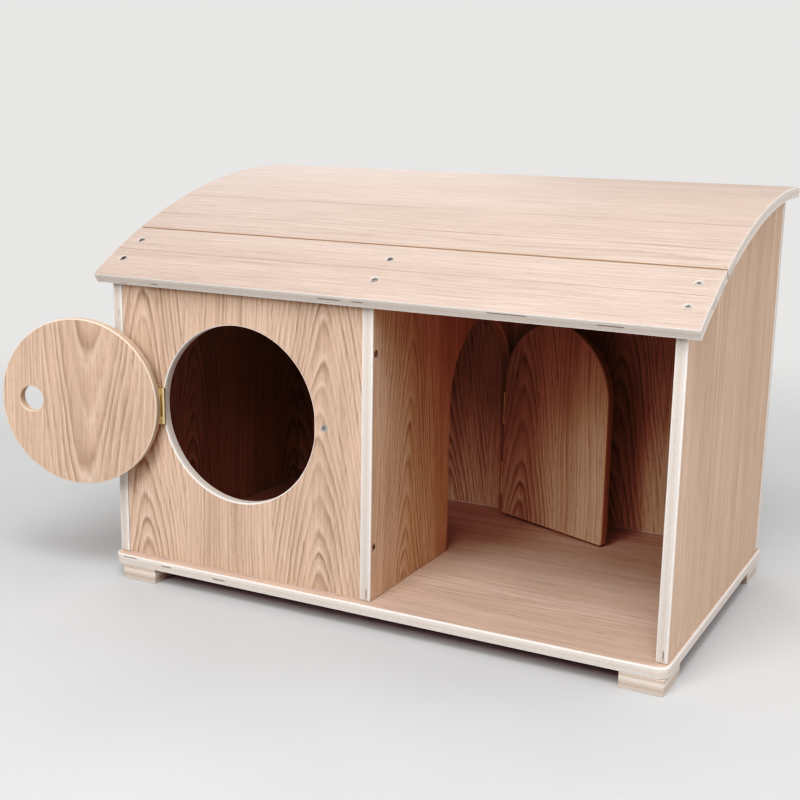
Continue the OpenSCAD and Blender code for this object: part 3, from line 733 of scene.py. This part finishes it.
def roof_outline(front_angle, back_points):
    """The end of a roof board, from its square front end to the points that close it at the back."""
    front = math.radians(front_angle)
    under = roof_line(UNDER_R, CREST_Y - UNDER_R * math.sin(front), back_points[0])
    over = roof_line(ROOF_R, back_points[1], CREST_Y - ROOF_R * math.sin(front))
    return soften(under + over, ROOF_EASE)


def roof_wood(shift):
    """Place in a roof board's wood: round the bow, along the house, and down from its upper face."""
    def grain(p, q, w):
        radius = math.hypot(p - CREST_Y, q - ROOF_AXIS_Z)
        return (ROOF_R * math.atan2(p - CREST_Y, q - ROOF_AXIS_Z) + shift, w, ROOF_R - radius)
    return grain


roof_woods = (roof_veneer, bare_edge, painted_shade_edge)


def roof_wood_at(centre):
    """Which wood shows on a roof board: veneer on the bow, the darker edge with painted shade in the seam, else
    bare edges.
    """
    radius = math.hypot(centre.y - CREST_Y, centre.z - ROOF_AXIS_Z)
    if not roof_low.x + BOARD_EASE < centre.x < roof_high.x - BOARD_EASE:
        return 1
    if min(abs(radius - ROOF_R), abs(radius - UNDER_R)) < 0.15 * MM:
        return 0
    return 2 if abs(centre.y - FRONT_Y - SEAM_BACK) < PLY else 1


roof_length = roof_high.x - roof_low.x
seam = math.radians(roof_angle(FRONT_Y + SEAM_BACK))
board_back = [CREST_Y - radius * math.sin(seam) for radius in (UNDER_R, ROOF_R)]
board_outline = roof_outline(roof_angle(FRONT_Y - ROOF_FRONT), board_back)
board_built = sawn([(board_outline, ROOF_EASE)], roof_length)
roof_mesh = board_mesh("roof_front", board_built, upright_across(roof_low.x), roof_wood(ROOF_BOARD_SHIFT),
                       roof_woods, roof_wood_at)
make_piece("bowed_front_board", countersunk(roof_mesh, ["roof_board_screws"]), "house", "roof_plywood",
           "roof_front_board")
lid_outline = roof_outline(roof_angle(FRONT_Y + SEAM_BACK + SEAM_GAP), [roof_high.y, roof_high.y])
lid_built = sawn([(lid_outline, ROOF_EASE)], roof_length)
lid_mesh = board_mesh("lid", lid_built, upright_across(roof_low.x), roof_wood(LID_SHIFT),
                      roof_woods, roof_wood_at)
make_piece("bowed_lid", lid_mesh, "roof_lid", "roof_plywood", "roof_lid")

# Round door, sawn from the opening
disc = arc((OPENING_X, OPENING_Z), ROUND_R, 0, 360, RIM_STEPS)[:-1]
finger = arc((OPENING_X + FINGER_OUT, OPENING_Z), FINGER_R, 360, 0, ARC_STEPS)[:-1]
disc_built = sawn([(disc, BOARD_EASE), (finger, HOLE_EASE)], PLY)
disc_place = turned(upright_along(front_low.y + PLY), ROUND_PIN, ROUND_TURN)
disc_mesh = board_mesh("round_door", disc_built, disc_place, fibres_down(*LEAVES["disc"]),
                       (disc_veneer, disc_edge))
make_piece("disc_round_door", disc_mesh, "round_door", "door_plywood", "round_door")

# Arched door
arch_foot_z = FLOOR_Z + ARCH_FOOT
arch_outline = [(ARCH_Y - ARCH_DOOR_R, arch_foot_z), (ARCH_Y + ARCH_DOOR_R, arch_foot_z)]
arch_outline += arc((ARCH_Y, ARCH_Z), ARCH_DOOR_R, 0, 180, ARC_STEPS)
arch_built = sawn([(soften(arch_outline, DOOR_EASE), DOOR_EASE)], PLY)
arch_place = turned(upright_across(divider_low.x), ARCH_PIN, ARCH_TURN)
# Its edges take the darker plywood edge, which is painted shade
arch_mesh = board_mesh("arched_door", arch_built, arch_place, fibres_up(*LEAVES["arch"]),
                       (door_veneer, painted_shade_edge))
make_piece("arched_door", arch_mesh, "arch_door", "door_plywood", "arch_door")

# Door stop, relieved where the shut door meets it
stop_low, stop_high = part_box("door_stop")
stop_step = stop_low.x + STOP_LAP
stop_outline = [(stop_low.x, stop_low.y + STOP_RELIEF), (stop_step, stop_low.y + STOP_RELIEF),
                (stop_step, stop_low.y), (stop_high.x, stop_low.y), (stop_high.x, stop_high.y),
                (stop_low.x, stop_high.y)]
stop_built = sawn([(stop_outline, STOP_EASE)], stop_high.z - stop_low.z)
# Its edges take the darker plywood edge, which is painted shade
stop_mesh = board_mesh("door_stop", stop_built, lying(stop_low.z), fibres_level(*LEAVES["stop"]),
                       (floor_veneer, painted_shade_edge))
make_piece("block_door_stop", stop_mesh, "house", "floor_plywood", "door_stop")


# Screws

def screw_tree():
    """Countersunk screws with a cross recess, one on each point, facing the way its seat does."""
    tree = bpy.data.node_groups.new("countersunk_screws", "GeometryNodeTree")
    tree.interface.new_socket("Seats", in_out="INPUT", socket_type="NodeSocketGeometry")
    for size in ("Head width", "Shank width", "Recess reach", "Recess width", "Recess depth"):
        tree.interface.new_socket(size, in_out="INPUT", socket_type="NodeSocketFloat")
    tree.interface.new_socket("Metal", in_out="INPUT", socket_type="NodeSocketMaterial")
    tree.interface.new_socket("Screws", in_out="OUTPUT", socket_type="NodeSocketGeometry")
    given = add(tree, "NodeGroupInput").outputs

    # The head: a cone from the shank up to its flat top, with a cross cut into it
    head_r = add(tree, "ShaderNodeMath", {0: given["Head width"], 1: 0.5}, operation="MULTIPLY")
    shank_r = add(tree, "ShaderNodeMath", {0: given["Shank width"], 1: 0.5}, operation="MULTIPLY")
    head_h = add(tree, "ShaderNodeMath", {0: head_r, 1: shank_r}, operation="SUBTRACT")
    head_drop = add(tree, "ShaderNodeMath", {0: head_h, 1: -1.0}, operation="MULTIPLY")
    cone = add(tree, "GeometryNodeMeshCone", {"Vertices": 32, "Radius Top": head_r, "Radius Bottom": shank_r,
                                              "Depth": head_h}).outputs["Mesh"]
    low = add(tree, "ShaderNodeCombineXYZ", {"Z": head_drop})
    head = add(tree, "GeometryNodeTransform", {"Geometry": cone, "Translation": low})
    bar_h = add(tree, "ShaderNodeMath", {0: given["Recess depth"], 1: 2.0}, operation="MULTIPLY")
    bar_size = add(tree, "ShaderNodeCombineXYZ", {"X": given["Recess reach"], "Y": given["Recess width"],
                                                  "Z": bar_h})
    bar = add(tree, "GeometryNodeMeshCube", {"Size": bar_size}).outputs["Mesh"]
    crossbar = add(tree, "GeometryNodeTransform", {"Geometry": bar, "Rotation": (0, 0, math.pi / 2)})
    crossed_head = add(tree, "GeometryNodeMeshBoolean", {"Mesh 1": head, "Mesh 2": [bar, crossbar]},
                       operation="DIFFERENCE", solver="MANIFOLD")

    # The shank below the head, one metre long until its seat gives its length
    pin = add(tree, "GeometryNodeMeshCone", {"Vertices": 12, "Radius Top": shank_r, "Radius Bottom": POINT_R,
                                             "Depth": 1.0}).outputs["Mesh"]
    shank = add(tree, "GeometryNodeTransform", {"Geometry": pin, "Translation": (0, 0, -1)})

    facing = add(tree, "GeometryNodeInputNamedAttribute", {"Name": "facing"}, data_type="FLOAT_VECTOR")
    length = add(tree, "GeometryNodeInputNamedAttribute", {"Name": "length"}, data_type="FLOAT")
    square = add(tree, "FunctionNodeAlignRotationToVector", {"Vector": facing}, axis="Z")
    spin = add(tree, "FunctionNodeRandomValue", {2: 0.0, 3: math.pi, "Seed": SCREW_SEED},
               data_type="FLOAT").outputs[1]
    spin_turn = add(tree, "FunctionNodeAxisAngleToRotation", {"Axis": (0, 0, 1), "Angle": spin})
    turn = add(tree, "FunctionNodeRotateRotation", {"Rotation": square, "Rotate By": spin_turn},
               rotation_space="LOCAL")
    neck_drop = add(tree, "ShaderNodeVectorMath", {0: facing, "Scale": head_drop}, operation="SCALE")
    necks = add(tree, "GeometryNodeSetPosition", {"Geometry": given["Seats"], "Offset": neck_drop})
    shank_length = add(tree, "ShaderNodeMath", {0: length, 1: head_drop}, operation="ADD")
    stretch = add(tree, "ShaderNodeCombineXYZ", {"X": 1.0, "Y": 1.0, "Z": shank_length})
    heads = add(tree, "GeometryNodeInstanceOnPoints", {"Points": given["Seats"], "Instance": crossed_head,
                                                       "Rotation": turn})
    shanks = add(tree, "GeometryNodeInstanceOnPoints", {"Points": necks, "Instance": shank,
                                                        "Rotation": turn, "Scale": stretch})
    joined = add(tree, "GeometryNodeJoinGeometry", {"Geometry": [heads, shanks]})
    real = add(tree, "GeometryNodeRealizeInstances", {"Geometry": joined})
    plated = add(tree, "GeometryNodeSetMaterial", {"Geometry": real, "Material": given["Metal"]})
    add(tree, "NodeGroupOutput", {"Screws": plated})
    return tree


screws = screw_tree()


def drive_screws(name, nodes, body, slot, metal, head, shank):
    """Puts screws where the solids have them, as one mesh."""
    seats = screw_seats(*nodes)
    points = bpy.data.meshes.new(name)
    points.from_pydata([head_middle for head_middle, facing, length in seats], [], [])
    points.attributes.new("facing", "FLOAT_VECTOR", "POINT")
    points.attributes.new("length", "FLOAT", "POINT")
    for i, (head_middle, facing, length) in enumerate(seats):
        points.attributes["facing"].data[i].vector = facing
        points.attributes["length"].data[i].value = length
    holder = bpy.data.objects.new(name + "_seats", points)
    bpy.context.scene.collection.objects.link(holder)
    driver = holder.modifiers.new("screws", "NODES")
    driver.node_group = screws
    sizes = {"Head width": head, "Shank width": shank, "Recess reach": RECESS_REACH_SHARE * head,
             "Recess width": RECESS_WIDTH_SHARE * head, "Recess depth": RECESS_DEPTH_SHARE * head,
             "Metal": metal}
    for item in screws.interface.items_tree:
        if item.name in sizes:
            driver[item.identifier] = sizes[item.name]
    graph = bpy.context.evaluated_depsgraph_get()
    mesh = bpy.data.meshes.new_from_object(holder.evaluated_get(graph))
    bpy.data.objects.remove(holder)
    mesh.materials.clear()
    mesh.materials.append(metal)
    for polygon in mesh.polygons:
        polygon.material_index = 0
    make_piece(name, mesh, body, slot, *nodes)


house_screws = ["roof_board_screws", "front_panel_screws", "back_panel_screws", "base_screws",
                "door_stop_screw"]
drive_screws("panel_screws", house_screws, "house", "screw_steel", screw_zinc, 2 * HEAD_R, 2 * SHANK_R)
frame_leaf_screws = ["round_hinge_frame_screws", "arch_hinge_frame_screws", "lid_hinge_panel_screws"]
for piece_name, solids, body in [("house_hinge_screws", frame_leaf_screws, "house"),
                                 ("round_door_hinge_screws", ["round_hinge_door_screws"], "round_door"),
                                 ("arch_door_hinge_screws", ["arch_hinge_door_screws"], "arch_door"),
                                 ("lid_hinge_screws", ["lid_hinge_lid_screws"], "roof_lid")]:
    drive_screws(piece_name, solids, body, "hinge_brass", screw_brass, 2 * HINGE_HEAD_R, 2 * HINGE_SHANK_R)

# Hinge leaves and pins keep their solids and get their metals
metals = {"hinge_brass": hinge_brass, "pin_steel": pin_steel}
for subpart in frame["record"]["subparts"]:
    if subpart["material_slot"] in metals:
        solid = frame["nodes"][subpart["node"]]
        solid.data.materials.clear()
        solid.data.materials.append(metals[subpart["material_slot"]])

# Camera at the photograph's viewing angle
SENSOR_WIDTH = 36
PICTURE_PIXELS = 800
FOCAL_PIXELS = 1308.82
yaw, pitch, roll = 0.4748, 0.2250, -0.0168
eye = Vector((0.6360, -1.1644 + FRONT_Y, 0.52714 + FLOOR_Z))
ahead_level = Vector((-math.sin(yaw), math.cos(yaw), 0))
right_level = Vector((math.cos(yaw), math.sin(yaw), 0))
up = Vector((0, 0, 1))
ahead = ahead_level * math.cos(pitch) - up * math.sin(pitch)
down = -(ahead_level * math.sin(pitch) + up * math.cos(pitch))
right = right_level * math.cos(roll) + down * math.sin(roll)
below = down * math.cos(roll) - right_level * math.sin(roll)
lens = bpy.data.cameras.new("camera")
lens.sensor_width = SENSOR_WIDTH
lens.lens = FOCAL_PIXELS / PICTURE_PIXELS * SENSOR_WIDTH
camera = bpy.data.objects.new("camera", lens)
turn = Matrix((right, -below, -ahead)).transposed().to_4x4()
camera.matrix_world = Matrix.Translation(eye) @ turn
bpy.context.scene.collection.objects.link(camera)
bpy.context.scene.camera = camera


# Studio: soft lamps, a pale surround, tone curves and a paper floor

def soft_lamp(name, place, aim, size, watts):
    """A square soft lamp that faces a point."""
    light = bpy.data.lights.new(name, "AREA")
    light.shape = "SQUARE"
    light.size = size
    light.energy = watts
    lamp = bpy.data.objects.new(name, light)
    lamp.location = place
    lamp.rotation_euler = (Vector(aim) - Vector(place)).to_track_quat("-Z", "Y").to_euler()
    lamp.visible_camera = False
    bpy.context.scene.collection.objects.link(lamp)


HOUSE_MIDDLE = (0, 0, 0.2)
for lamp_name, lamp_place, lamp_size, lamp_watts in [("key_lamp", (0.2, -1.9, 2.1), 1.9, 51),
                                                     ("front_lamp", (-0.6, -2.7, 1.4), 0.9, 19),
                                                     ("high_lamp", (0.6, -1.3, 2.6), 1.0, 25),
                                                     ("right_lamp", (3.0, 0.6, 1.7), 2.8, 46),
                                                     ("top_lamp", (0.1, 0.7, 2.7), 2.0, 11),
                                                     ("rear_lamp", (-1.8, 2.4, 1.6), 2.0, 27)]:
    soft_lamp(lamp_name, lamp_place, HOUSE_MIDDLE, lamp_size, lamp_watts)

# The surround looks pale to the eye, and lights the house a little, more from the right
world = bpy.data.worlds.new("studio")
bpy.context.scene.world = world
world.use_nodes = True
world_tree = world.node_tree
world_tree.nodes.clear()
seen = add(world_tree, "ShaderNodeBackground", {"Color": linear("#E9E8E7"), "Strength": 1.0})
way = add(world_tree, "ShaderNodeTexCoord").outputs["Generated"]
way_right = add(world_tree, "ShaderNodeSeparateXYZ", {"Vector": way}).outputs["X"]
glow = add(world_tree, "ShaderNodeMapRange", {0: way_right, 1: 0.0, 2: 1.0, 3: 0.38, 4: 0.75})
lit = add(world_tree, "ShaderNodeBackground", {"Color": linear("#F4F2F0"), "Strength": glow})
is_seen = add(world_tree, "ShaderNodeLightPath").outputs["Is Camera Ray"]
surround = add(world_tree, "ShaderNodeMixShader", {0: is_seen, 1: lit, 2: seen})
add(world_tree, "ShaderNodeOutputWorld", {"Surface": surround})

# The camera's tone curves, which deepen and warm the shade inside the house
view = bpy.context.scene.view_settings
view.view_transform = "Standard"
view.use_curve_mapping = True
shade_all = [(0.02, 0.003), (0.05, 0.011), (0.075, 0.024), (0.1, 0.046), (0.14, 0.092), (0.2, 0.157),
             (0.45, 0.43)]
shade_green = [(0.01, 0.009), (0.03, 0.025), (0.08, 0.069), (0.13, 0.12), (0.25, 0.25), (0.4, 0.4),
               (0.7, 0.7)]
shade_blue = [(0.005, 0.004), (0.02, 0.015), (0.05, 0.044), (0.09, 0.085), (0.18, 0.18), (0.35, 0.35),
              (0.7, 0.7)]
for curve, shades in [(3, shade_all), (1, shade_green), (2, shade_blue)]:
    for shade_in, shade_out in shades:
        view.curve_mapping.curves[curve].points.new(shade_in, shade_out)
view.curve_mapping.update()

# Floor of matt paper, which fades into the surround away from the house
FLOOR_R = 2.0
FLOOR_STEPS = 96
FADE_START = 0.6
FADE_STOP = 1.8
paper, paper_tree, paper_shader = new_material("studio_paper")
paper_place = add(paper_tree, "ShaderNodeTexCoord").outputs["Object"]
paper_mottle = add(paper_tree, "ShaderNodeTexNoise", {"Vector": paper_place, "Scale": 1 / (333.33 * MM)})
paper_ramp = add(paper_tree, "ShaderNodeValToRGB", {"Fac": paper_mottle})
set_ramp(paper_ramp, [(0.3, linear("#BABBBC")), (0.7, linear("#BFC0C1"))])
paper_tree.links.new(paper_ramp.outputs[0], paper_shader.inputs["Base Color"])
paper_shader.inputs["Roughness"].default_value = 0.9
paper_far = add(paper_tree, "ShaderNodeVectorMath", {0: paper_place}, operation="LENGTH").outputs["Value"]
paper_fade = add(paper_tree, "ShaderNodeMapRange", {0: paper_far, 1: FADE_START, 2: FADE_STOP, 3: 0.0,
                                                    4: 1.0}, interpolation_type="SMOOTHSTEP")
paper_clear = add(paper_tree, "ShaderNodeBsdfTransparent")
paper_mix = add(paper_tree, "ShaderNodeMixShader", {0: paper_fade, 1: paper_shader, 2: paper_clear})
paper_output = next(n for n in paper_tree.nodes if n.bl_idname == "ShaderNodeOutputMaterial")
paper_tree.links.new(paper_mix.outputs[0], paper_output.inputs["Surface"])
floor_mesh = bpy.data.meshes.new("studio_floor")
floor_rim = arc((0, 0), FLOOR_R, 0, 360, FLOOR_STEPS)[:-1]
floor_mesh.from_pydata([(x, y, 0) for x, y in floor_rim], [], [tuple(range(len(floor_rim)))])
floor_mesh.materials.append(paper)
studio_floor = bpy.data.objects.new("studio_floor", floor_mesh)
bpy.context.scene.collection.objects.link(studio_floor)
